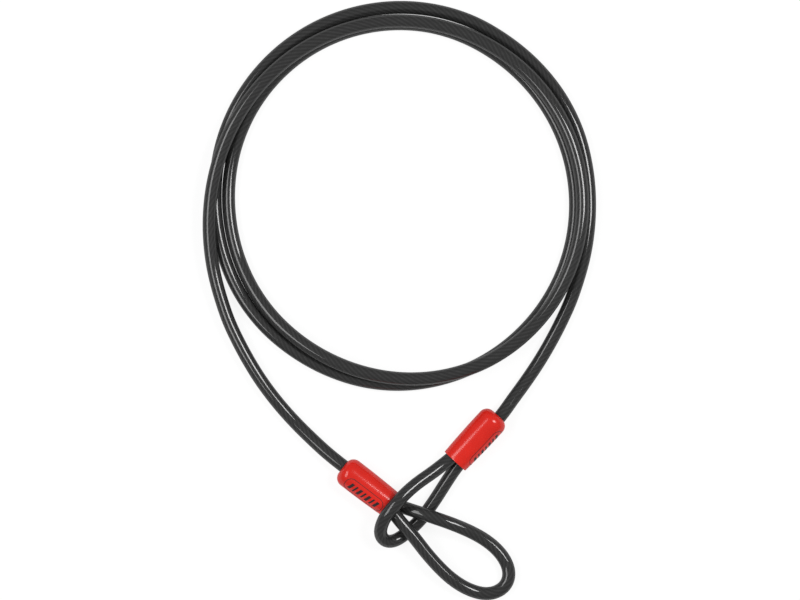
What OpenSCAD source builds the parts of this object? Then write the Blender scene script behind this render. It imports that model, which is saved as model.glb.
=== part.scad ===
// Coiled security cable with a crimped eye at each end.
// A steel rope in a plastic jacket lies in about two and a half turns on a flat surface.
// Its two ends cross below the coil, and eye A is passed through eye B.
// Millimetres, +Z up, the surface is z = 0, the origin is under the middle of the whole object.

/* [Cable] */
// Outer diameter of the jacketed cable
cable_d = 8; // [7.4:0.1:8]
// Diameter of the steel rope inside the jacket
rope_d = 5; // [4:0.1:5]
// Sides of the swept jacket
jacket_sides = 12; // [8, 12]
// Sides of the swept rope
rope_sides = 8; // [6, 8]

/* [Coil] */
// Centreline radius of the inner turns
lay_r = 105; // [104:0.5:106]
// Turning angle between two sections of the coil
coil_step = 12; // [6, 12]

/* [Covers] */
// Outer diameter of a cover
cover_d = 18.4; // [18:0.1:18.4]
// Outer diameter of a cover at its mouth
mouth_d = 17.2; // [17.2:0.1:17.8]
// Length of a cover
cover_len = 38; // [37:0.5:38.5]
// Rounding at the closed end of a cover
cover_round = 5.5; // [4:0.5:6]
// Wall of a cover along its body
cover_wall = 1.5; // [1.2:0.1:1.6]

/* [Ferrules] */
// Length of a ferrule
ferrule_len = 20; // [18:1:21]
// Wall of a ferrule
ferrule_wall = 1.6; // [1:0.1:1.7]

/* [Hidden] */
$fn = 64;

// Clearance between the rope and the jacket's bore, and between crossing strands
fit = 0.05;
strand_gap = 0.25;
// How far a bore's cutter reaches past the face that it opens
over = 1;
cable_r = cable_d / 2;
rope_r = rope_d / 2;
// The jacket's bore and the ferrule's: the first is a polygon whose flats clear the rope
bore_r = (rope_r + fit) / cos(180 / jacket_sides);
ferrule_bore_r = rope_r + fit;
// How far the first turn rides above the others
lift = cable_d + strand_gap;

// Plane where the two tails start to flex, and the gap between the bodies there
flex_y = -24;
flex_gap = 0.3;

// Middle of the coil
coil_x = 0.6;
coil_y = 63.8;
// Turning angles, measured clockwise along the cable, and the heading of angle 0
turn_from = -12;
turn_to = 948;
turn_a = 312;
turn_b = 624;
heading_0 = 200;
// Where the first turn climbs over the third: [start, span, height at the start]; and where it
// comes down again onto the surface: [start, span]
climb = [-12, 40, 3.75];
step_down = [296, 72];
// The cable leaves the coil outwards at both ends: [extra radius, end angle, power] on its way
// in, [extra radius, start angle, span] on its way out
flare_in = [15.8, 141, 3.6];
flare_out = [8.2, 909, 46];
// Drift of the radius along the coil: [start angle, span, change of radius]
drift = [[124, 134, 8.6], [258, 74, -6.3], [316, 68, -3.4], [474, 34, -0.8], [506, 160, 12],
    [648, 44, -1.2], [692, 54, -3.2], [656, 192, 3.1], [844, 28, -1.5], [838, 74, 2]];

// Covers: [x, y of the closed end's middle, heading, roll of the plane that holds both legs]
axis_z = cover_d / 2;
end_a = [-34.1, -101.2, -37.6, 112];
end_b = [59.6, -69.4, 227.2, 138];
// Station where a cover starts to narrow, depth of its mouth, and its thinnest walls
taper_at = 20;
cover_mouth = 4;
cover_end_wall = 3;
mouth_wall = 0.5;
// Stations along a cover's axis: end of the tail's jacket, ferrule, start of the eye's jacket
tail_stop = 6.5;
ferrule_at = 8;
dead_at = 7;
flare_at = 31;
eye_at = 34;
// Distance of each leg from the cover's axis, in the ferrule, past it and at the mouth
leg_in = rope_r + 0.1;
leg_mid = 3.3;
leg_out = cable_r + 0.05;

// Routes by hand, [x, y, z of the centreline]
z0 = cable_r;
root_a = [[-103.3, -12, z0 + 3.1], [-97.9, flex_y + flex_gap, z0 + 2.4]];
tail_a = [[-97.8, flex_y, z0 + 2.4], [-91, -36.7, z0 + 1.8], [-83.6, -48.6, z0 + 1.2],
    [-74.6, -60.7, z0 + 0.8], [-63.7, -73.2, z0], [-52.5, -84.3, z0 + 0.5], [-42.2, -93.6, z0 + 1.8]];
root_b = [[104.1, 0, z0], [98.7, -12.1, z0], [92.7, flex_y + flex_gap, z0]];
tail_b = [[92.6, flex_y, z0], [85.5, -36.2, z0], [77.3, -48.5, z0 + 0.6], [68.8, -60.1, z0 + 2.1]];
eye_a = [[-1.4, -131, 13.6], [3.7, -136.8, 13.2], [9.2, -143.2, 12.3], [15.2, -151.1, 11.2],
    [22.4, -159.5, 9.8], [30.2, -167.2, 8.2], [38.7, -173.3, 5.9], [46, -176.6, 4.4],
    [53.1, -178, z0], [59.9, -176.5, z0], [64.8, -172.7, z0], [66.9, -166.6, z0],
    [65.5, -159.8, 4.2], [61.2, -153, 4.6], [54.1, -146.4, 5.8], [45.3, -141, 8.4],
    [36.8, -137, 11.2], [28.4, -133.7, 12.9], [19.9, -130.8, 12.9], [11.4, -128, 11.6],
    [4.2, -125.8, 8.3]];
eye_b = [[26.9, -98.9, 12.5], [20.6, -103.7, 14.4], [11.4, -110, 17.8], [3.7, -116.5, 21],
    [-2.6, -123.3, 22.5], [-8, -130, 20.8], [-10.8, -136.5, 17], [-11.2, -142.1, 12.6], [-7.7, -146.1, 9],
    [-2.6, -145.7, 6.6], [2.6, -142.5, 4.8], [7.4, -138.3, z0], [13, -133, z0], [18.7, -125.4, z0],
    [22.9, -119.2, z0], [27.5, -111.9, 4.4], [31.9, -105.1, 5.6]];

// Colours
jacket_colour = [0.16, 0.16, 0.17];
rope_colour = [0.62, 0.62, 0.64];
ferrule_colour = [0.72, 0.73, 0.75];
cover_colour = [0.84, 0.14, 0.1];

// ---------- small functions ----------
function ease(t) = let(c = min(1, max(0, t))) c * c * (3 - 2 * c);
function rise(t) = let(c = min(1, max(0, t))) c * (1.5 - 0.5 * c * c);
function total(list) = list * [for (v = list) 1];
function unit(v) = v / norm(v);

// ---------- the coil ----------
function turn_r(f) = lay_r
    + flare_in[0] * pow(max(0, 1 - f / flare_in[1]), flare_in[2])
    + flare_out[0] * pow(max(0, (f - flare_out[1]) / flare_out[2]), 2)
    + total([for (d = drift) d[2] * ease((f - d[0]) / d[1])]);
function turn_z(f) = z0 + climb[2] + (lift - climb[2]) * rise((f - climb[0]) / climb[1])
    - lift * ease((f - step_down[0]) / step_down[1]);
function coil_point(f) = [
    coil_x + turn_r(f) * cos(heading_0 - f),
    coil_y + turn_r(f) * sin(heading_0 - f),
    turn_z(f)];
function coil_route(from, to) = [for (f = [from:coil_step:to]) coil_point(f)];

// ---------- points of a crimped end ----------
function end_axis(e) = [cos(e[2]), sin(e[2]), 0];
function end_side(e) = [-sin(e[2]) * cos(e[3]), cos(e[2]) * cos(e[3]), sin(e[3])];
function end_point(e, along, side) = [e[0], e[1], axis_z] + along * end_axis(e) + side * end_side(e);

function tail_route(tail, e, stop) = concat(tail, [end_point(e, 0, -leg_in), end_point(e, stop, -leg_in)]);
function eye_jacket(e, eye) = concat(
    [end_point(e, eye_at, leg_out), end_point(e, cover_len, leg_out)],
    eye,
    [end_point(e, cover_len, -leg_out), end_point(e, eye_at, -leg_out)]);
function eye_rope(e, eye) = concat(
    [end_point(e, ferrule_at + ferrule_len, leg_in), end_point(e, flare_at, leg_mid)],
    eye_jacket(e, eye),
    [end_point(e, flare_at, -leg_mid), end_point(e, ferrule_at + ferrule_len, -leg_in)]);

// ---------- sweeping ----------
// A stretch is [route, point before it, point after it]. The two outer points are those that the
// next stretches of cable have there, so that the sections of two stretches agree.
function tangent(stretch, i) = let(
    route = stretch[0],
    n = len(route) - 1,
    a = i > 0 ? route[i - 1] : stretch[1],
    b = i < n ? route[i + 1] : stretch[2])
    unit(b - a);
// One section. When cut is true it is slid along the cable onto the flex plane's own y.
function section(p, t, r, sides, cut) = let(
    side = unit(cross([0, 0, 1], t)),
    top = cross(t, side))
    [for (k = [0:sides - 1]) let(
        a = 360 * k / sides,
        q = p + r * cos(a) * side + r * sin(a) * top)
        cut ? q + t * (p[1] - q[1]) / t[1] : q];
function sections(stretch, r, sides, cut_first, cut_last) = let(
    route = stretch[0],
    n = len(route) - 1)
    [for (i = [0:n]) let(cut = (cut_first && i == 0) || (cut_last && i == n))
        for (q = section(route[i], tangent(stretch, i), r, sides, cut)) q];

// Walls between sections, two triangles a side, with the first point at index base; flip turns
// them inside out.
function walls(count, sides, base, flip) = [
    for (i = [0:count - 2]) for (k = [0:sides - 1]) let(
        a = base + i * sides + k,
        b = base + i * sides + (k + 1) % sides)
        for (t = [[a, a + sides, b + sides], [a, b + sides, b]])
            flip ? [t[2], t[1], t[0]] : t];

module rod(stretch, r, sides, cut_first, cut_last) {
    count = len(stretch[0]);
    polyhedron(
        sections(stretch, r, sides, cut_first, cut_last),
        concat(
            walls(count, sides, 0, false),
            [[for (k = [0:sides - 1]) k]],
            [[for (k = [sides - 1:-1:0]) (count - 1) * sides + k]]));
}

module tube(stretch, r, hole, sides, cut_first, cut_last) {
    count = len(stretch[0]);
    inner = count * sides;
    end = (count - 1) * sides;
    polyhedron(
        concat(
            sections(stretch, r, sides, cut_first, cut_last),
            sections(stretch, hole, sides, cut_first, cut_last)),
        concat(
            walls(count, sides, 0, false),
            walls(count, sides, inner, true),
            [for (k = [0:sides - 1]) let(m = (k + 1) % sides) [k, m, inner + m, inner + k]],
            [for (k = [0:sides - 1]) let(m = (k + 1) % sides)
                [end + m, end + k, inner + end + k, inner + end + m]]));
}

// Jacket and rope along one stretch
module jacket(stretch, cut_first = false, cut_last = false) {
    color(jacket_colour) tube(stretch, cable_r, bore_r, jacket_sides, cut_first, cut_last);
}
module rope(stretch, cut_first = false, cut_last = false) {
    color(rope_colour) rod(stretch, rope_r, rope_sides, cut_first, cut_last);
}

// ---------- the cable's stretches ----------
turn_1 = [coil_route(turn_from, turn_a), root_a[0], coil_point(turn_a + coil_step)];
turn_2 = [coil_route(turn_a, turn_b), coil_point(turn_a - coil_step), coil_point(turn_b + coil_step)];
turn_3 = [coil_route(turn_b, turn_to), coil_point(turn_b - coil_step), root_b[0]];
root_of_a = [concat([coil_point(turn_from)], root_a), coil_point(turn_from + coil_step), tail_a[1]];
root_of_b = [concat([coil_point(turn_to)], root_b), coil_point(turn_to - coil_step), tail_b[1]];
tail_of_a = [tail_route(tail_a, end_a, tail_stop), root_a[0], end_point(end_a, ferrule_at, -leg_in)];
tail_of_b = [tail_route(tail_b, end_b, tail_stop), root_b[1], end_point(end_b, ferrule_at, -leg_in)];
function jacket_round_eye(e, eye) =
    [eye_jacket(e, eye), end_point(e, flare_at, leg_out), end_point(e, flare_at, -leg_out)];
function rope_round_eye(e, eye) =
    [eye_rope(e, eye), end_point(e, ferrule_at, leg_mid), end_point(e, ferrule_at, -leg_mid)];

module jacket_turn_1() jacket(turn_1);
module jacket_turn_2() jacket(turn_2);
module jacket_turn_3() jacket(turn_3);
module jacket_root_a() jacket(root_of_a, cut_last = true);
module jacket_root_b() jacket(root_of_b, cut_last = true);
module jacket_tail_a() jacket(tail_of_a, cut_first = true);
module jacket_tail_b() jacket(tail_of_b, cut_first = true);
module jacket_eye_a() jacket(jacket_round_eye(end_a, eye_a));
module jacket_eye_b() jacket(jacket_round_eye(end_b, eye_b));
module rope_turn_1() rope(turn_1);
module rope_turn_2() rope(turn_2);
module rope_turn_3() rope(turn_3);
module rope_root_a() rope(root_of_a, cut_last = true);
module rope_root_b() rope(root_of_b, cut_last = true);
module rope_tail_a() rope(tail_of_a, cut_first = true);
module rope_tail_b() rope(tail_of_b, cut_first = true);
module rope_eye_a() rope(rope_round_eye(end_a, eye_a));
module rope_eye_b() rope(rope_round_eye(end_b, eye_b));

// ---------- crimped ends, built along +X with both legs in the XY plane ----------
module place(e) {
    translate([e[0], e[1], axis_z]) rotate([0, 0, e[2]]) rotate([e[3], 0, 0]) children();
}
module leg(side, from, to, r) {
    translate([from, side, 0]) rotate([0, 90, 0]) cylinder(h = to - from, r = r);
}

// The end that runs on into the eye, and the cut end beside it
module rope_live(e) {
    color(rope_colour) place(e) leg(-leg_in, tail_stop, ferrule_at + ferrule_len, rope_r);
}
module rope_dead(e) {
    color(rope_colour) place(e) leg(leg_in, dead_at, ferrule_at + ferrule_len, rope_r);
}

// Oval sleeve pressed round both legs
module ferrule(e) {
    outer_r = rope_r + ferrule_wall;
    far = ferrule_at + ferrule_len;
    color(ferrule_colour) place(e) difference() {
        union() {
            for (s = [-1, 1]) leg(s * leg_in, ferrule_at, far, outer_r);
            translate([ferrule_at, -leg_in, -outer_r]) cube([ferrule_len, 2 * leg_in, 2 * outer_r]);
        }
        for (s = [-1, 1]) leg(s * leg_in, ferrule_at - over, far + over, ferrule_bore_r);
    }
}

// Moulded cover: rounded at the end where one cable goes in, narrower at its open mouth
module cover(e) {
    r = cover_d / 2;
    mouth_r = mouth_d / 2;
    color(cover_colour) place(e) difference() {
        rotate([0, 90, 0]) rotate_extrude() {
            polygon([[0, cover_round], [r, cover_round], [r, taper_at],
                [mouth_r, cover_len], [0, cover_len]]);
            square([r - cover_round, cover_round]);
            intersection() {
                translate([r - cover_round, cover_round]) circle(r = cover_round);
                translate([r - cover_round, 0]) square(cover_round);
            }
        }
        leg(0, cover_end_wall, cover_len + over, r - cover_wall);
        leg(0, cover_len - cover_mouth, cover_len + over, mouth_r - mouth_wall);
        leg(-leg_in, -over, cover_end_wall + over, cable_r + fit);
    }
}

module rope_live_a() rope_live(end_a);
module rope_live_b() rope_live(end_b);
module rope_dead_a() rope_dead(end_a);
module rope_dead_b() rope_dead(end_b);
module ferrule_a() ferrule(end_a);
module ferrule_b() ferrule(end_b);
module cover_a() cover(end_a);
module cover_b() cover(end_b);

jacket_turn_1();
jacket_turn_2();
jacket_turn_3();
jacket_root_a();
jacket_root_b();
jacket_tail_a();
jacket_tail_b();
jacket_eye_a();
jacket_eye_b();
rope_turn_1();
rope_turn_2();
rope_turn_3();
rope_root_a();
rope_root_b();
rope_tail_a();
rope_tail_b();
rope_eye_a();
rope_eye_b();
rope_live_a();
rope_live_b();
rope_dead_a();
rope_dead_b();
ferrule_a();
ferrule_b();
cover_a();
cover_b();
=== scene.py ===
# Looks of a coiled security cable with a crimped eye at each end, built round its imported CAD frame.
# Metres, +Z up, +Y from the linked eyes towards the coil.
import math

import bpy
import numpy as np
from mathutils import Matrix, Vector


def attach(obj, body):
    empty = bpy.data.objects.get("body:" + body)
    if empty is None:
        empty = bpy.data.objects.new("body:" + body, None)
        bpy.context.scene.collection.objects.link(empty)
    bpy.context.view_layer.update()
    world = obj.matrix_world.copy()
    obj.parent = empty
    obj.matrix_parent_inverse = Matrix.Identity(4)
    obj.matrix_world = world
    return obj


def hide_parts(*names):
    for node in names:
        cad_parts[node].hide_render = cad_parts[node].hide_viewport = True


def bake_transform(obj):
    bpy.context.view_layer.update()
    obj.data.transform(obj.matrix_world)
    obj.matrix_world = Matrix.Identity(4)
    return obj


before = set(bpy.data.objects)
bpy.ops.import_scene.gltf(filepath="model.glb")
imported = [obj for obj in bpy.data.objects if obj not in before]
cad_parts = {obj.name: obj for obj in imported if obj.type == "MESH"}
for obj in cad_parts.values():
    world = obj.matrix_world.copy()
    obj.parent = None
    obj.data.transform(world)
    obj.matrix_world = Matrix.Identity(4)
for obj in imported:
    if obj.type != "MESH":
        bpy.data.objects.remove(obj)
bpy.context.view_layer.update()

MM = 0.001
TAU = 2 * math.pi

# ---------- the object's own sizes, in millimetres, as the CAD source has them ----------
CABLE_R = 4.0
ROPE_R = 2.5
COVER_R = 9.2
COVER_LEN = 38.0
COVER_ROUND = 5.5
COVER_WALL = 1.5
COVER_END_WALL = 3.0
COVER_MOUTH = 4.0
TAPER_AT = 20.0
AXIS_Z = COVER_R
LEG_IN = ROPE_R + 0.1
LEG_MID = 3.3
LEG_OUT = CABLE_R + 0.05
TAIL_STOP = 6.5
FERRULE_AT = 8.0
FERRULE_LEN = 20.0
DEAD_AT = 7.0
FLARE_AT = 31.0
EYE_AT = 34.0
# Covers: x and y of the closed end's middle, heading, roll of the plane that holds both legs
END_A = (-34.1, -101.2, -37.6, 112.0)
END_B = (59.6, -69.4, 227.2, 138.0)

# The coil's turning angles, measured clockwise along the cable, and its radius law
COIL_X, COIL_Y = 0.6, 63.8
LAY_R = 105.0
HEADING_0 = 200.0
TURN_FROM, TURN_TO, COIL_STEP = -12, 948, 12
LIFT = 2 * CABLE_R + 0.25
CLIMB, STEP_DOWN = (-12, 40, 3.75), (296, 72)
FLARE_IN, FLARE_OUT = (15.8, 141.0, 3.6), (8.2, 909.0, 46.0)
DRIFT = (
    (124, 134, 8.6), (258, 74, -6.3), (316, 68, -3.4), (474, 34, -0.8), (506, 160, 12),
    (648, 44, -1.2), (692, 54, -3.2), (656, 192, 3.1), (844, 28, -1.5), (838, 74, 2),
)

# Routes, x, y and z of the centreline in millimetres, as the CAD source has them
Z0 = CABLE_R
TAIL_A = [
    (-103.3, -12, Z0 + 3.1), (-97.8, -24, Z0 + 2.4), (-91, -36.7, Z0 + 1.8), (-83.6, -48.6, Z0 + 1.2),
    (-74.6, -60.7, Z0 + 0.8), (-63.7, -73.2, Z0), (-52.5, -84.3, Z0 + 0.5), (-42.2, -93.6, Z0 + 1.8),
]
TAIL_B = [
    (104.1, 0, Z0), (98.7, -12.1, Z0), (92.6, -24, Z0), (85.5, -36.2, Z0), (77.3, -48.5, Z0 + 0.6),
    (68.8, -60.1, Z0 + 2.1),
]
EYE_A = [
    (-1.4, -131, 13.6), (3.7, -136.8, 13.2), (9.2, -143.2, 12.3), (15.2, -151.1, 11.2),
    (22.4, -159.5, 9.8), (30.2, -167.2, 8.2), (38.7, -173.3, 5.9), (46, -176.6, 4.4), (53.1, -178, Z0),
    (59.9, -176.5, Z0), (64.8, -172.7, Z0), (66.9, -166.6, Z0), (65.5, -159.8, 4.2),
    (61.2, -153, 4.6), (54.1, -146.4, 5.8), (45.3, -141, 8.4), (36.8, -137, 11.2), (28.4, -133.7, 12.9),
    (19.9, -130.8, 12.9), (11.4, -128, 11.6), (4.2, -125.8, 8.3),
]
EYE_B = [
    (26.9, -98.9, 12.5), (20.6, -103.7, 14.4), (11.4, -110, 17.8), (3.7, -116.5, 21),
    (-2.6, -123.3, 22.5), (-8, -130, 20.8), (-10.8, -136.5, 17), (-11.2, -142.1, 12.6), (-7.7, -146.1, 9),
    (-2.6, -145.7, 6.6), (2.6, -142.5, 4.8), (7.4, -138.3, Z0), (13, -133, Z0), (18.7, -125.4, Z0),
    (22.9, -119.2, Z0), (27.5, -111.9, 4.4), (31.9, -105.1, 5.6),
]

# ---------- sizes of the looks, in millimetres ----------
RING_STEP = 1.5
END_RING = 0.05
SOFTEN = 3.0
JACKET_SIDES = 40
BORE_R = ROPE_R + 0.15
STRANDS = 6
STRAND_SIDES = 8
LAY = 26.4
COVER_SIDES = 96
HOLE_R = CABLE_R + 0.1
# Roundings of a cover: the lip round its hole, the lip of its mouth and the bottom of its bore
HOLE_LIP = 0.35
MOUTH_LIP = 0.16
BORE_CORNER = 1.2
# How a cover is drawn in along its body and at its mouth: [start, span, change of radius]
BODY_DRAW = (14.0, 16.0, 0.26)
MOUTH_DRAW = (26.0, 12.0, 0.44)
# Covers' prints: outline's length, height, corner radius and line width, then the bars in it
PRINT_LENGTH, PRINT_HEIGHT, PRINT_CORNER, PRINT_LINE = 27.0, 10.0, 4.2, 0.34
BARS, BAR_HEIGHT, BAR_SLANT, BAR_PITCH, BAR_WIDTHS = 7, 5.0, 0.3, 3.1, (1.9, 1.2)
# How far the ink stands above the plastic's surface, and how far it reaches below it
INK = 0.04


# ---------- camera ----------
def add_camera():
    """Looks straight down, as far off as a long lens needs to see the whole object."""
    field, aim = 484.8, (0.6, 0.2)
    lens, sensor = 200.0, 36.0
    data = bpy.data.cameras.new("camera")
    data.lens = lens
    data.sensor_width = sensor
    data.clip_end = 50
    camera = bpy.data.objects.new("camera", data)
    camera.location = Vector((*aim, field * lens / sensor + Z0)) * MM
    bpy.context.scene.collection.objects.link(camera)
    bpy.context.scene.camera = camera


# ---------- routes ----------
def ease(t):
    t = min(1.0, max(0.0, t))
    return t * t * (3 - 2 * t)


def rise(t):
    t = min(1.0, max(0.0, t))
    return t * (1.5 - 0.5 * t * t)


def coil_point(f):
    """The cable's centreline at turning angle f, in millimetres."""
    r = LAY_R + sum(change * ease((f - at) / span) for at, span, change in DRIFT)
    r += FLARE_IN[0] * max(0.0, 1 - f / FLARE_IN[1]) ** FLARE_IN[2]
    r += FLARE_OUT[0] * max(0.0, (f - FLARE_OUT[1]) / FLARE_OUT[2]) ** 2
    z = Z0 + CLIMB[2] + (LIFT - CLIMB[2]) * rise((f - CLIMB[0]) / CLIMB[1])
    z -= LIFT * ease((f - STEP_DOWN[0]) / STEP_DOWN[1])
    a = math.radians(HEADING_0 - f)
    return (COIL_X + r * math.cos(a), COIL_Y + r * math.sin(a), z)


def end_frame(end):
    """Closed end's middle, axis and side direction of a crimped end."""
    heading, roll = math.radians(end[2]), math.radians(end[3])
    axis = np.array([math.cos(heading), math.sin(heading), 0.0])
    side = np.array(
        [-math.sin(heading) * math.cos(roll), math.cos(heading) * math.cos(roll), math.sin(roll)]
    )
    return np.array([end[0], end[1], AXIS_Z]), axis, side


def end_point(end, along, side):
    base, axis, across = end_frame(end)
    return tuple(base + along * axis + side * across)


def smooth_route(points, step=RING_STEP):
    """A smooth curve through the points, as ring centres a step apart."""
    p = np.array(points, float)
    knots = np.concatenate([[0], np.cumsum(np.linalg.norm(np.diff(p, axis=0), axis=1))])
    slopes = np.gradient(p, knots, axis=0, edge_order=2)
    fine = []
    for i in range(len(p) - 1):
        h = knots[i + 1] - knots[i]
        t = np.linspace(0, 1, 24, endpoint=False)[:, None]
        fine.append(
            (2 * t**3 - 3 * t**2 + 1) * p[i]
            + (t**3 - 2 * t**2 + t) * h * slopes[i]
            + (3 * t**2 - 2 * t**3) * p[i + 1]
            + (t**3 - t**2) * h * slopes[i + 1]
        )
    fine = np.vstack([*fine, p[-1:]])
    fine = spaced(fine, step)
    return spaced(softened(fine, SOFTEN / step), step)


def spaced(line, step):
    at = np.concatenate([[0], np.cumsum(np.linalg.norm(np.diff(line, axis=0), axis=1))])
    count = max(2, round(at[-1] / step) + 1)
    return np.stack([np.interp(np.linspace(0, at[-1], count), at, line[:, k]) for k in range(3)], 1)


def softened(line, sigma):
    """The line without its small kinks. Its ends stay where they are."""
    reach = int(math.ceil(3 * sigma))
    weight = np.exp(-0.5 * (np.arange(-reach, reach + 1) / sigma) ** 2)
    weight /= weight.sum()
    before = 2 * line[0] - line[reach:0:-1]
    after = 2 * line[-1] - line[-2 : -reach - 2 : -1]
    padded = np.vstack([before, line, after])
    return np.stack([np.convolve(padded[:, k], weight, "valid") for k in range(3)], 1)


def transported(line):
    """Direction, side and top of each ring. They turn with the line and never twist about it."""
    t = np.gradient(line, axis=0)
    t /= np.linalg.norm(t, axis=1)[:, None]
    side = np.cross([0, 0, 1.0], t[0])
    sides = []
    for direction in t:
        side = side - direction * (side @ direction)
        side /= np.linalg.norm(side)
        sides.append(side)
    sides = np.array(sides)
    return t, sides, np.cross(t, sides)


class Tube:
    """One smooth route with its rings' directions, which its stretches share."""

    def __init__(self, points):
        self.line = smooth_route(points)
        self.t, self.side, self.top = transported(self.line)
        steps = np.linalg.norm(np.diff(self.line, axis=0), axis=1)
        self.at = np.concatenate([[0], np.cumsum(steps)])

    def nearest(self, point):
        return int(np.linalg.norm(self.line - np.array(point), axis=1).argmin())

    def stretch(self, first, last):
        """Line, sides, tops and stations of the rings from first to last. One more ring lies close
        to each end, so that the shading stays straight up to the ends."""
        near = END_RING / RING_STEP
        at = np.concatenate([[first, first + near], np.arange(first + 1, last), [last - near, last]])
        whole = np.minimum(at.astype(int), len(self.line) - 2)
        part = (at - whole)[:, None]
        mix = [a[whole] * (1 - part) + a[whole + 1] * part for a in (self.line, self.side, self.top)]
        return *mix, np.interp(at, np.arange(len(self.at)), self.at)


# ---------- meshes ----------
def new_object(name, vertices, faces, uvs=None, flat=()):
    """A mesh object in metres from points in millimetres. uvs has one pair for each face corner,
    and flat lists the faces that aren't shaded smooth."""
    mesh = bpy.data.meshes.new(name)
    mesh.from_pydata((np.asarray(vertices) * MM).tolist(), [], faces)
    if uvs is not None:
        layer = mesh.uv_layers.new(name="lay")
        layer.data.foreach_set("uv", np.asarray(uvs, np.float32).ravel())
    smooth = np.ones(len(mesh.polygons), bool)
    smooth[list(flat)] = False
    mesh.polygons.foreach_set("use_smooth", smooth)
    mesh.update()
    made = bpy.data.objects.new(name, mesh)
    bpy.context.scene.collection.objects.link(made)
    return made


def grid_faces(rings, sides, base=0, flip=False, closed=False):
    """Quads between neighbouring rings. Seen along the rings' order they face outwards."""
    spans = rings if closed else rings - 1
    i = np.repeat(np.arange(spans), sides)
    k = np.tile(np.arange(sides), spans)
    low, high = base + i * sides, base + (i + 1) % rings * sides
    m = (k + 1) % sides
    quads = np.stack([low + k, low + m, high + m, high + k], 1)
    return (quads[:, ::-1] if flip else quads).tolist()


def grid_uvs(along, sides, flip=False):
    """u runs once round the tube and v along it, in metres."""
    i = np.repeat(np.arange(len(along) - 1), sides)
    k = np.tile(np.arange(sides), len(along) - 1)
    u = np.stack([k, k + 1, k + 1, k], 1) / sides
    v = np.stack([along[i], along[i], along[i + 1], along[i + 1]], 1) * MM
    pairs = np.stack([u, v], 2)
    return (pairs[:, ::-1] if flip else pairs).reshape(-1, 2)


def jacket(name, stretch):
    """A stretch of jacket: its outside, its bore and a ring-shaped face at each end."""
    line, side, top, at = stretch
    sides, count = JACKET_SIDES, len(line)
    angles = TAU * np.arange(sides) / sides
    away = np.cos(angles)[:, None] * side[:, None] + np.sin(angles)[:, None] * top[:, None]
    points = np.vstack([(line[:, None] + r * away).reshape(-1, 3) for r in (CABLE_R, BORE_R)])
    inner = count * sides
    faces = grid_faces(count, sides) + grid_faces(count, sides, inner, flip=True)
    uvs = [grid_uvs(at, sides), grid_uvs(at, sides, flip=True)]
    walls = len(faces)
    for ring, flip in ((0, False), (count - 1, True)):
        v = at[ring] * MM
        for k in range(sides):
            a, b = ring * sides + k, ring * sides + (k + 1) % sides
            quad = [a, inner + a, inner + b, b]
            pairs = [(k / sides, v), (k / sides, v), ((k + 1) / sides, v), ((k + 1) / sides, v)]
            faces.append(quad[::-1] if flip else quad)
            uvs.append(np.array(pairs[::-1] if flip else pairs))
    return new_object(name, points, faces, np.vstack(uvs), range(walls, len(faces)))


def wire_rope(name, stretch):
    """Six strands laid right-handed round a core strand, each with closed ends."""
    line, side, top, at = stretch
    strand_r = ROPE_R / 3
    sides, count = STRAND_SIDES, len(line)
    circle = (TAU * np.arange(sides) / sides)[:, None]
    points, faces, uvs, flat = [], [], [], []
    for n in range(STRANDS + 1):
        base = n * count * sides
        angle = (TAU * (at / LAY + n / STRANDS))[:, None]
        away = np.cos(angle) * side + np.sin(angle) * top
        centre = line + (2 * strand_r * away if n else 0)
        t = np.gradient(centre, axis=0)
        up = np.cross(t, away)
        up /= np.linalg.norm(up, axis=1)[:, None]
        across = np.cross(up, t)
        across /= np.linalg.norm(across, axis=1)[:, None]
        round_it = np.cos(circle) * across[:, None] + np.sin(circle) * up[:, None]
        points.append((centre[:, None] + strand_r * round_it).reshape(-1, 3))
        faces += grid_faces(count, sides, base)
        last = base + (count - 1) * sides
        flat += [len(faces), len(faces) + 1]
        faces.append(list(range(base + sides - 1, base - 1, -1)))
        faces.append(list(range(last, last + sides)))
        uvs += [grid_uvs(at, sides), np.zeros((2 * sides, 2))]
    return new_object(name, np.vstack(points), faces, np.vstack(uvs), flat)


# ---------- covers ----------
def placed(end, points):
    """Points of a crimped end, built along +X with both legs in the XY plane, put in place."""
    base, axis, side = end_frame(end)
    third = np.cross(axis, side)
    p = np.asarray(points, float)
    return base + p[..., :1] * axis + p[..., 1:2] * side + p[..., 2:] * third


def arc(x, y, r, start, stop, count):
    angles = np.radians(np.linspace(start, stop, count))
    return [(x + r * math.cos(a), y + r * math.sin(a)) for a in angles]


def body_r(x):
    """Radius of a cover's outside past its rounded end: full in the middle, drawn in at the mouth."""
    body = BODY_DRAW[2] * ease((x - BODY_DRAW[0]) / BODY_DRAW[1])
    mouth = MOUTH_DRAW[2] * max(0.0, (x - MOUTH_DRAW[0]) / MOUTH_DRAW[1]) ** 1.5
    return COVER_R - body - mouth


def dome_x(r):
    """Station of the rounded end's surface at a distance from the axis."""
    past = np.maximum(0, r - (COVER_R - COVER_ROUND))
    return COVER_ROUND - np.sqrt(np.maximum(0, COVER_ROUND**2 - past**2))


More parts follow.
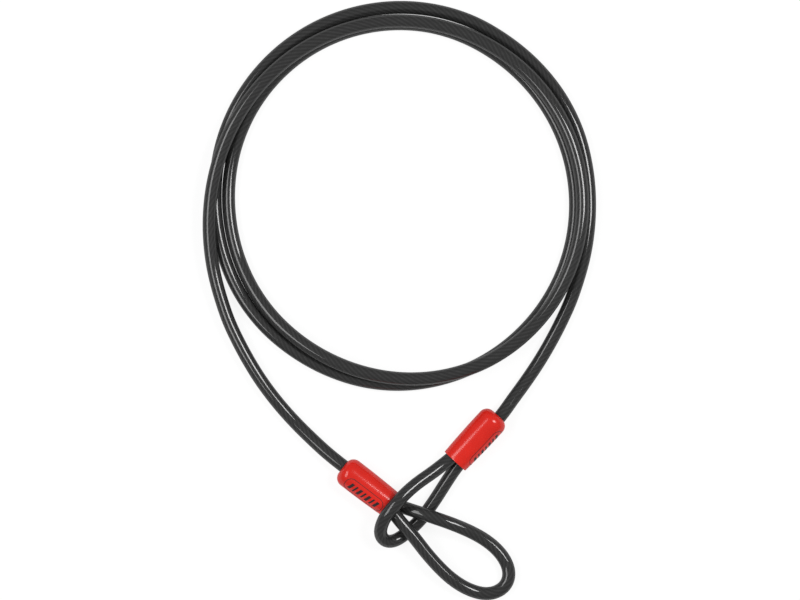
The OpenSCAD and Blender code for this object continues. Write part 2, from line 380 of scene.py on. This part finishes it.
def cover_shell(name, end):
    """A moulded shell. Its rounded end has an off-centre hole for the cable, its mouth a thin lip."""
    a = TAU * np.arange(COVER_SIDES) / COVER_SIDES
    # Distance from the axis to the hole's edge, whose middle is LEG_IN off the axis
    def hole(r):
        return -LEG_IN * np.cos(a) + np.sqrt(r * r - (LEG_IN * np.sin(a)) ** 2)

    rings = [(np.full_like(a, COVER_END_WALL), hole(HOLE_R))]
    first = hole(HOLE_R + HOLE_LIP)
    for x, r in arc(HOLE_LIP, HOLE_R + HOLE_LIP, HOLE_LIP, 270, 180, 5):
        rings.append((dome_x(first) + x, hole(r)))
    flat_r = COVER_R - COVER_ROUND
    # Along the surface, measured from the axis over the flat and round the corner
    def along(r):
        turn = np.arcsin(np.clip((r - flat_r) / COVER_ROUND, 0, 1))
        return np.minimum(r, flat_r) + COVER_ROUND * turn

    start, stop = along(first), along(np.full_like(a, COVER_R))
    for t in np.linspace(0, 1, 20)[1:]:
        q = start + (stop - start) * t
        turn = np.maximum(0, q - flat_r) / COVER_ROUND
        r = np.where(q < flat_r, q, flat_r + COVER_ROUND * np.sin(turn))
        rings.append((dome_x(r), r))
    inside = COVER_R - COVER_WALL
    mouth = body_r(COVER_LEN)
    throat, step = mouth - 2 * MOUTH_LIP, COVER_LEN - COVER_MOUTH
    outline = [(x, body_r(x)) for x in np.linspace(COVER_ROUND + 1.5, COVER_LEN - MOUTH_LIP, 24)]
    outline += arc(COVER_LEN - MOUTH_LIP, mouth - MOUTH_LIP, MOUTH_LIP, 90, -90, 7)[1:]
    outline += [(step, throat), (step - 0.5, inside), (TAPER_AT, inside)]
    outline += arc(COVER_END_WALL + BORE_CORNER, inside - BORE_CORNER, BORE_CORNER, 90, 180, 5)
    rings += [(np.full_like(a, x), np.full_like(a, r)) for x, r in outline]
    points = np.array([np.stack([x, r * np.cos(a), r * np.sin(a)], 1) for x, r in rings]).reshape(-1, 3)
    faces = grid_faces(len(rings), COVER_SIDES, closed=True)
    return new_object(name, placed(end, points), faces)


def on_cover(end, x, across, lift):
    """Points on a cover's outside. across is measured round it in millimetres from straight up."""
    x, across = np.asarray(x, float), np.asarray(across, float)
    angle = TAU / 4 - math.radians(end[3]) - across / COVER_R
    r = np.array([body_r(v) for v in x.ravel()]).reshape(x.shape) + lift
    return placed(end, np.stack([x, r * np.cos(angle), r * np.sin(angle)], -1))


def ink_strip(end, left, right, closed):
    """Points and faces of a thin raised strip between two edges, each a list of (x, across)."""
    left, right = np.array(left), np.array(right)
    corners = [(left, INK), (right, INK), (right, -INK), (left, -INK)]
    points = np.stack([on_cover(end, e[:, 0], e[:, 1], lift) for e, lift in corners], 1).reshape(-1, 3)
    faces = grid_faces(len(left), 4, closed=closed)
    if not closed:
        last = 4 * (len(left) - 1)
        faces += [[3, 2, 1, 0], [last, last + 1, last + 2, last + 3]]
    return points, faces


def cover_print(name, end, x_from, across):
    """A plain pad print: a rounded outline with a row of slanted bars in it."""
    middle = x_from + PRINT_LENGTH / 2
    reach_x, reach_y = PRINT_LENGTH / 2 - PRINT_CORNER, PRINT_HEIGHT / 2 - PRINT_CORNER
    path = []
    for cx, cy, start in ((1, 1, 0), (-1, 1, 90), (-1, -1, 180), (1, -1, 270)):
        path += [
            (middle + cx * reach_x + PRINT_CORNER * math.cos(v),
             across + cy * reach_y + PRINT_CORNER * math.sin(v), v)
            for v in np.radians(np.linspace(start, start + 90, 12))
        ]
    fine = []
    for (x0, y0, v0), (x1, y1, v1) in zip(path, path[1:] + path[:1]):
        steps = max(1, round(math.hypot(x1 - x0, y1 - y0) / 0.8))
        fine += [(x0 + (x1 - x0) * k / steps, y0 + (y1 - y0) * k / steps, v0) for k in range(steps)]
    edges = [
        [(x + half * math.cos(v), y + half * math.sin(v)) for x, y, v in fine]
        for half in (-PRINT_LINE / 2, PRINT_LINE / 2)
    ]
    strips = [ink_strip(end, *edges, closed=True)]
    for n in range(BARS):
        width = BAR_WIDTHS[n % 2]
        centre = middle + (n - BARS // 2) * BAR_PITCH
        rows = np.linspace(-BAR_HEIGHT / 2, BAR_HEIGHT / 2, 9)
        edge = [(centre + BAR_SLANT * row, across + row) for row in rows]
        sides = [[(x + side * width / 2, y) for x, y in edge] for side in (-1, 1)]
        strips.append(ink_strip(end, *sides, closed=False))
    points, faces = [], []
    for strip_points, strip_faces in strips:
        base = sum(len(p) for p in points)
        points.append(strip_points)
        faces += [[base + v for v in face] for face in strip_faces]
    return new_object(name, np.vstack(points), faces, flat=range(len(faces)))


# ---------- materials ----------
class Nodes:
    """A short way to write a material's nodes."""

    def __init__(self, name):
        self.material = bpy.data.materials.new(name)
        self.material.use_nodes = True
        self.tree = self.material.node_tree
        self.shader = self.tree.nodes["Principled BSDF"]

    def add(self, kind, **settings):
        node = self.tree.nodes.new(kind)
        for key, value in settings.items():
            setattr(node, key, value)
        return node

    def link(self, source, target):
        self.tree.links.new(source, target)

    def math(self, operation, a, b=None, c=None):
        node = self.add("ShaderNodeMath", operation=operation)
        for socket, value in zip(node.inputs, (a, b, c)):
            if value is None:
                continue
            if isinstance(value, (int, float)):
                socket.default_value = value
            else:
                self.link(value, socket)
        return node.outputs[0]

    def noise(self, scale, detail, roughness):
        node = self.add("ShaderNodeTexNoise")
        node.inputs["Scale"].default_value = scale
        node.inputs["Detail"].default_value = detail
        node.inputs["Roughness"].default_value = roughness
        self.link(self.add("ShaderNodeTexCoord").outputs["Object"], node.inputs["Vector"])
        return node.outputs["Fac"]

    def ramp(self, value, *stops):
        node = self.add("ShaderNodeValToRGB")
        elements = node.color_ramp.elements
        while len(elements) < len(stops):
            elements.new(0.5)
        for element, (at, colour) in zip(elements, stops):
            element.position = at
            element.color = (*colour, 1.0)
        self.link(value, node.inputs["Fac"])
        return node.outputs["Color"]

    def bump(self, height, strength, distance, normal=None):
        node = self.add("ShaderNodeBump")
        node.inputs["Strength"].default_value = strength
        node.inputs["Distance"].default_value = distance
        self.link(height, node.inputs["Height"])
        if normal is not None:
            self.link(normal, node.inputs["Normal"])
        return node.outputs["Normal"]

    def set(self, **values):
        for key, value in values.items():
            socket = self.shader.inputs[key.replace("_", " ")]
            if isinstance(value, (int, float, tuple)):
                socket.default_value = value
            else:
                self.link(value, socket)
        return self.material


def grey(v):
    return (v, v, v)


def lay_waves(n, turns, pitch_mm, power=1.0):
    """Stripes that wind right-handed round a tube: turns of them around, one each pitch along."""
    uv = n.add("ShaderNodeUVMap", uv_map="lay").outputs["UV"]
    split = n.add("ShaderNodeSeparateXYZ")
    n.link(uv, split.inputs[0])
    around = n.math("MULTIPLY", split.outputs["X"], float(turns))
    along = n.math("MULTIPLY", split.outputs["Y"], 1 / (pitch_mm * MM))
    phase = n.math("MULTIPLY", n.math("SUBTRACT", around, along), TAU)
    wave = n.math("MULTIPLY_ADD", n.math("COSINE", phase), 0.5, 0.5)
    return n.math("POWER", wave, power)


def smoke_jacket():
    """Smoke-black translucent plastic, with the rope's strands showing through under its gloss as stripes
    in its colour: painted highlights on the strands' crowns and painted shade between them.
    """
    n = Nodes("smoke_jacket")
    strands = lay_waves(n, 10, LAY / STRANDS, 1.2)
    wires = lay_waves(n, 26, -6.0)
    mottle = n.noise(520.0, 4.0, 0.7)
    shine = n.math("MULTIPLY", strands, n.math("MULTIPLY_ADD", wires, 0.3, 0.7))
    shine = n.math("MULTIPLY", shine, n.math("MULTIPLY_ADD", mottle, 2.2, -0.2))
    # The ramp paints each strand's crown lighter as a painted highlight and the valleys between strands
    # darker as painted shade; the mottle only varies the tone at random.
    colour = n.ramp(shine, (0.0, grey(0.018)), (0.35, grey(0.022)), (1.0, grey(0.034)))
    haze = n.noise(160.0, 5.0, 0.65)
    peel = n.noise(300.0, 2.0, 0.4)
    return n.set(
        Base_Color=colour,
        Roughness=n.math("MULTIPLY_ADD", haze, 0.14, 0.34),
        IOR=1.2,
        Specular_IOR_Level=0.2,
        Coat_Weight=0.19,
        Coat_Roughness=0.05,
        Coat_IOR=2.4,
        Normal=n.bump(shine, 0.25, 0.0002),
        Coat_Normal=n.bump(peel, 0.015, 0.0002),
    )


def drawn_wire():
    """Bright steel wire, with the wires' own lay along each strand."""
    n = Nodes("drawn_wire")
    wires = lay_waves(n, 6, 9.0, 0.8)
    grime = n.noise(420.0, 4.0, 0.6)
    colour = n.ramp(
        n.math("MULTIPLY", wires, grime), (0.05, grey(0.16)), (0.5, grey(0.42)), (1.0, grey(0.66))
    )
    return n.set(
        Base_Color=colour,
        Metallic=1.0,
        Roughness=n.math("MULTIPLY_ADD", grime, 0.2, 0.22),
        Normal=n.bump(wires, 0.6, 0.0001),
    )


def pressed_aluminium():
    """Satin aluminium with fine drawing lines and darker specks left by the press."""
    n = Nodes("pressed_aluminium")
    lines = n.noise(2400.0, 3.0, 0.7)
    specks = n.noise(500.0, 5.0, 0.65)
    colour = n.ramp(specks, (0.3, (0.46, 0.47, 0.49)), (0.7, (0.7, 0.71, 0.73)))
    return n.set(
        Base_Color=colour,
        Metallic=1.0,
        Roughness=n.math("MULTIPLY_ADD", specks, 0.25, 0.24),
        Normal=n.bump(lines, 0.25, 0.00004),
    )


def red_plastic():
    """Glossy moulded red plastic with a faint grain, flow marks and wear."""
    n = Nodes("red_plastic")
    flow = n.noise(70.0, 3.0, 0.5)
    grain = n.noise(3200.0, 2.0, 0.5)
    colour = n.ramp(flow, (0.3, (0.54, 0.0125, 0.0065)), (0.7, (0.62, 0.0165, 0.009)))
    return n.set(
        Base_Color=colour,
        Roughness=n.math("MULTIPLY_ADD", flow, 0.1, 0.3),
        IOR=1.2,
        Specular_IOR_Level=0.2,
        Coat_Weight=0.16,
        Coat_Roughness=0.18,
        Coat_IOR=2.4,
        Subsurface_Weight=0.06,
        Subsurface_Radius=(0.004, 0.0008, 0.0004),
        Subsurface_Scale=0.3,
        Normal=n.bump(grain, 0.05, 0.00003, n.bump(flow, 0.02, 0.0006)),
    )


def print_ink():
    """Matt black ink, thin enough in places for the red to show."""
    n = Nodes("print_ink")
    thin = n.noise(1500.0, 4.0, 0.7)
    black, brown, red = (0.012, 0.010, 0.011), (0.03, 0.012, 0.014), (0.16, 0.012, 0.012)
    colour = n.ramp(thin, (0.35, black), (0.62, brown), (0.75, red))
    return n.set(
        Base_Color=colour,
        Roughness=n.math("MULTIPLY_ADD", thin, 0.2, 0.5),
        Specular_IOR_Level=0.3,
        Normal=n.bump(thin, 0.2, 0.00003),
    )


def floor_white():
    n = Nodes("floor_white")
    return n.set(
        Base_Color=(0.12, 0.12, 0.12, 1.0),
        Roughness=0.9,
        Specular_IOR_Level=0.1,
        Emission_Color=(1, 1, 1, 1),
        Emission_Strength=0.88,
    )


def dress(obj, material):
    obj.data.materials.clear()
    obj.data.materials.append(material)


def dress_node(name, material):
    """A better material on a CAD node that stays."""
    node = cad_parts[name]
    for slot in node.material_slots:
        slot.material = material


# ---------- light and floor ----------
def light_bar(name, start, end, height, width, radiance):
    """A bar of soft light that faces the origin. Its ends are x and y for each metre of height."""
    a = Vector((start[0] * height, start[1] * height, height))
    b = Vector((end[0] * height, end[1] * height, height))
    middle = (a + b) / 2
    data = bpy.data.lights.new(name, "AREA")
    data.shape = "RECTANGLE"
    data.size, data.size_y = (b - a).length, width
    data.energy = radiance * math.pi * data.size * data.size_y
    back = middle.normalized()
    along = (b - a).normalized()
    across = back.cross(along).normalized()
    turned = Matrix((along, across, along.cross(across))).transposed()
    light = bpy.data.objects.new(name, data)
    light.matrix_world = Matrix.Translation(middle) @ turned.to_4x4()
    bpy.context.scene.collection.objects.link(light)


def add_light_and_floor():
    light_bar("key", (0.62, 0.01), (0.56, 0.35), 1.2, 0.5, 17)
    light_bar("fill", (-0.68, -0.5), (-0.68, 0.5), 1.2, 0.6, 6)
    world = bpy.data.worlds.new("studio")
    world.use_nodes = True
    world.node_tree.nodes["Background"].inputs["Color"].default_value = (1, 1, 1, 1)
    world.node_tree.nodes["Background"].inputs["Strength"].default_value = 0.34
    bpy.context.scene.world = world
    half, gap = 20000.0, 0.2
    corners = [(-half, -half, 0), (half, -half, 0), (half, half, 0), (-half, half, 0)]
    floor = new_object("floor", corners, [[0, 1, 2, 3]], flat=[0])
    floor.location.z = -gap * MM
    dress(floor, floor_white())


# ---------- the object ----------
def build_cable(plastic, wire):
    """The jacket and the wire rope in it, each as a coil, two tails and two eyes."""
    coil_points = [coil_point(f) for f in range(TURN_FROM, TURN_TO + 1, COIL_STEP)]
    into_a = [end_point(END_A, s, -LEG_IN) for s in (TAIL_STOP, 0)]
    into_b = [end_point(END_B, s, -LEG_IN) for s in (0, TAIL_STOP)]
    main = Tube(into_a + TAIL_A[::-1] + coil_points + TAIL_B + into_b)
    first, last = main.nearest(coil_points[0]), main.nearest(coil_points[-1])
    end = len(main.line) - 1
    stretches = {
        "coil": (main, (first, last), (first, last), ["turn_1", "turn_2", "turn_3"]),
        "tail_a": (main, (0, first), (0, first), ["root_a", "tail_a"]),
        "tail_b": (main, (last, end), (last, end), ["root_b", "tail_b"]),
    }
    for letter, crimp, eye in (("a", END_A, EYE_A), ("b", END_B, EYE_B)):
        dead = [(DEAD_AT, LEG_IN), (FERRULE_AT + FERRULE_LEN, LEG_IN), (FLARE_AT, LEG_MID)]
        live = [(FLARE_AT, -LEG_MID), (FERRULE_AT + FERRULE_LEN, -LEG_IN), (TAIL_STOP, -LEG_IN)]
        out = [end_point(crimp, *p) for p in dead + [(EYE_AT, LEG_OUT), (COVER_LEN, LEG_OUT)]]
        back = [end_point(crimp, *p) for p in [(COVER_LEN, -LEG_OUT), (EYE_AT, -LEG_OUT)] + live]
        tube = Tube(out + eye + back)
        jacketed = tube.nearest(out[3]), tube.nearest(back[1])
        stretches["eye_" + letter] = (tube, jacketed, (0, len(tube.line) - 1), ["eye_" + letter])
    for name, (tube, jacketed, wired, nodes) in stretches.items():
        skin = jacket("cable_" + name, tube.stretch(*jacketed))
        dress(skin, plastic)
        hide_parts(*["jacket_" + node for node in nodes])
        core = wire_rope("wires_" + name, tube.stretch(*wired))
        dress(core, wire)
        legs = ["live_" + name[-1], "dead_" + name[-1]] if name.startswith("eye") else []
        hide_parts(*["rope_" + node for node in nodes + legs])
        for piece in (skin, core):
            if name == "coil":
                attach(piece, "coil")
            elif name.startswith("tail"):
                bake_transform(piece)
            else:
                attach(piece, "linked_ends")


def build_covers(plastic, ink):
    """Both covers. The last two numbers say where a print starts along its cover and where it lies
    round it, from straight up."""
    for letter, end, x_from, across in (("a", END_A, 6.5, -6.0), ("b", END_B, 6.0, 11.4)):
        shell = cover_shell("cover_shell_" + letter, end)
        dress(shell, plastic)
        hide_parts("cover_" + letter)
        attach(shell, "linked_ends")
        mark = cover_print("cover_print_" + letter, end, x_from, across)
        dress(mark, ink)
        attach(mark, "linked_ends")


add_camera()
build_cable(smoke_jacket(), drawn_wire())
build_covers(red_plastic(), print_ink())
alloy = pressed_aluminium()
for node in ("ferrule_a", "ferrule_b"):
    dress_node(node, alloy)
add_light_and_floor()
bpy.context.scene.view_settings.view_transform = "Standard"
